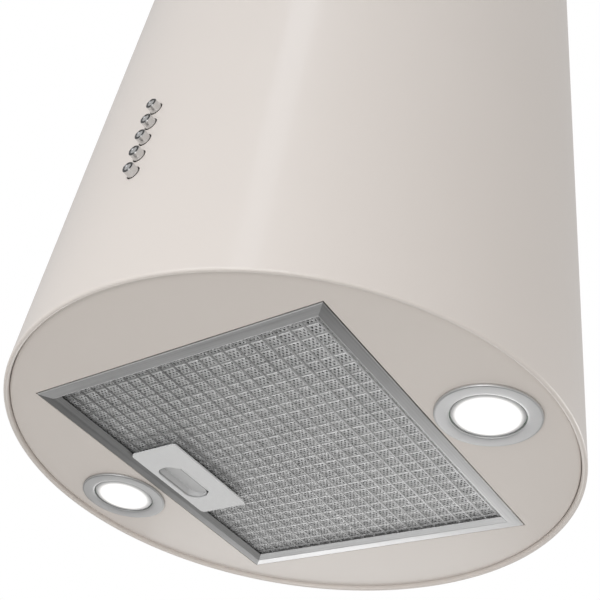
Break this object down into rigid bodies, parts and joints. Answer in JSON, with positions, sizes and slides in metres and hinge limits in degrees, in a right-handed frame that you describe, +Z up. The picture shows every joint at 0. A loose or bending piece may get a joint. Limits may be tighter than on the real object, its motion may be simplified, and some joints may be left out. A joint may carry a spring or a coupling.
{
  "type": "island range hood",
  "caption": "Round cylindrical island range hood that hangs from the ceiling, with an underside grease filter, spot lamps and a column of push buttons.",
  "frame": {"origin": "centre of the ceiling plate's top face, where the hood hangs from the ceiling", "axes": "+Z up; -Y towards the cook, the side with the push buttons; X runs through both lamps"},
  "size_m": [0.39, 0.396, 0.9],
  "materials": {
    "painted_casing": "satin, warm light grey",
    "zinc_sheet": "galvanised",
    "fasteners": "bright zinc",
    "filter_aluminium": "satin",
    "expanded_mesh": "bright expanded metal",
    "grip": "light grey, fine grain",
    "spring_steel": "polished spring steel",
    "lamp_trim": "circular brushed",
    "lamp_lens": "frosted, lit",
    "heat_sink": "die cast",
    "circuit_board": "solder mask",
    "button_chrome": "polished",
    "motor_steel": "plain",
    "dark_plastic": "moulded",
    "capacitor_shell": "moulded"
  },
  "bodies": {
    "ceiling_frame": {"ceiling_plate": "zinc_sheet", "upper_rail_1": "zinc_sheet", "upper_rail_2": "zinc_sheet", "upper_rail_3": "zinc_sheet", "upper_rail_4": "zinc_sheet"},
    "chimney": {"chimney_sleeve": "painted_casing"},
    "hood": {"outer_casing": "painted_casing", "bottom_panel": "painted_casing", "lower_rail_1": "zinc_sheet", "lower_rail_2": "zinc_sheet", "lower_rail_3": "zinc_sheet", "lower_rail_4": "zinc_sheet", "rail_bolt_1": "fasteners", "rail_bolt_2": "fasteners", "rail_bolt_3": "fasteners", "rail_bolt_4": "fasteners", "lamp_ring_left": "lamp_trim", "lamp_ring_right": "lamp_trim", "lamp_lens_left": "lamp_lens", "lamp_lens_right": "lamp_lens", "led_board_left": "circuit_board", "led_board_right": "circuit_board", "lamp_housing_left": "heat_sink", "lamp_housing_right": "heat_sink", "filter_catch": "spring_steel", "button_bracket": "zinc_sheet", "switch_board": "circuit_board", "chassis_ring": "zinc_sheet", "blower_scroll": "zinc_sheet", "blower_side_left": "zinc_sheet", "blower_side_right": "zinc_sheet", "outlet_flange": "zinc_sheet", "motor_body": "motor_steel", "motor_bracket": "zinc_sheet", "run_capacitor": "capacitor_shell", "outlet_collar": "dark_plastic", "damper_pin": "fasteners", "terminal_box": "dark_plastic", "terminal_box_lid": "dark_plastic", "control_board": "circuit_board", "cable_gland": "dark_plastic"},
    "impeller": {"blower_wheel": "dark_plastic", "wheel_hub": "dark_plastic", "motor_shaft": "fasteners", "wheel_nut": "fasteners"},
    "flap_rear": {"damper_flap_rear": "dark_plastic"},
    "flap_front": {"damper_flap_front": "dark_plastic"},
    "filter": {"filter_frame": "filter_aluminium", "filter_grid": "filter_aluminium", "filter_mesh_pack": "expanded_mesh", "handle_plate": "grip", "latch_spring": "spring_steel"},
    "latch": {"latch_slider": "grip"},
    "button_light": {"button_light": "button_chrome"},
    "button_speed_high": {"button_speed_high": "button_chrome"},
    "button_speed_medium": {"button_speed_medium": "button_chrome"},
    "button_speed_low": {"button_speed_low": "button_chrome"},
    "button_off": {"button_off": "button_chrome"}
  },
  "joints": [
    {"name": "hood_height", "type": "slide", "parent": "ceiling_frame", "child": "hood", "axis": [0, 0, 1], "range_m": [-0.05, 0.05]},
    {"name": "sleeve_slide", "type": "slide", "parent": "ceiling_frame", "child": "chimney", "axis": [0, 0, -1], "range_m": [0, 0.2]},
    {"name": "impeller_spin", "type": "hinge", "parent": "hood", "child": "impeller", "pos_m": [0, -0.02, -0.6], "axis": [1, 0, 0], "continuous": true},
    {"name": "flap_rear_swing", "type": "hinge", "parent": "hood", "child": "flap_rear", "pos_m": [0, 0, -0.42], "axis": [1, 0, 0], "range_deg": [0, 75]},
    {"name": "flap_front_swing", "type": "hinge", "parent": "hood", "child": "flap_front", "pos_m": [0, 0, -0.42], "axis": [-1, 0, 0], "range_deg": [0, 75]},
    {"name": "filter_swing", "type": "hinge", "parent": "hood", "child": "filter", "pos_m": [0.115, 0, -0.8964], "axis": [0, -1, 0], "range_deg": [0, 75], "deforming": ["filter_catch"]},
    {"name": "latch_pull", "type": "slide", "parent": "filter", "child": "latch", "axis": [1, 0, 0], "range_m": [0, 0.004], "stiffness_N_per_m": 400, "springref_m": -0.002, "deforming": ["latch_spring"]},
    {"name": "press_light", "type": "slide", "parent": "hood", "child": "button_light", "axis": [0, 1, 0], "range_m": [0, 0.0022], "stiffness_N_per_m": 300, "springref_m": -0.001},
    {"name": "press_speed_high", "type": "slide", "parent": "hood", "child": "button_speed_high", "axis": [0, 1, 0], "range_m": [0, 0.0022], "stiffness_N_per_m": 300, "springref_m": -0.001},
    {"name": "press_speed_medium", "type": "slide", "parent": "hood", "child": "button_speed_medium", "axis": [0, 1, 0], "range_m": [0, 0.0022], "stiffness_N_per_m": 300, "springref_m": -0.001},
    {"name": "press_speed_low", "type": "slide", "parent": "hood", "child": "button_speed_low", "axis": [0, 1, 0], "range_m": [0, 0.0022], "stiffness_N_per_m": 300, "springref_m": -0.001},
    {"name": "press_off", "type": "slide", "parent": "hood", "child": "button_off", "axis": [0, 1, 0], "range_m": [0, 0.0022], "stiffness_N_per_m": 300, "springref_m": -0.001}
  ]
}
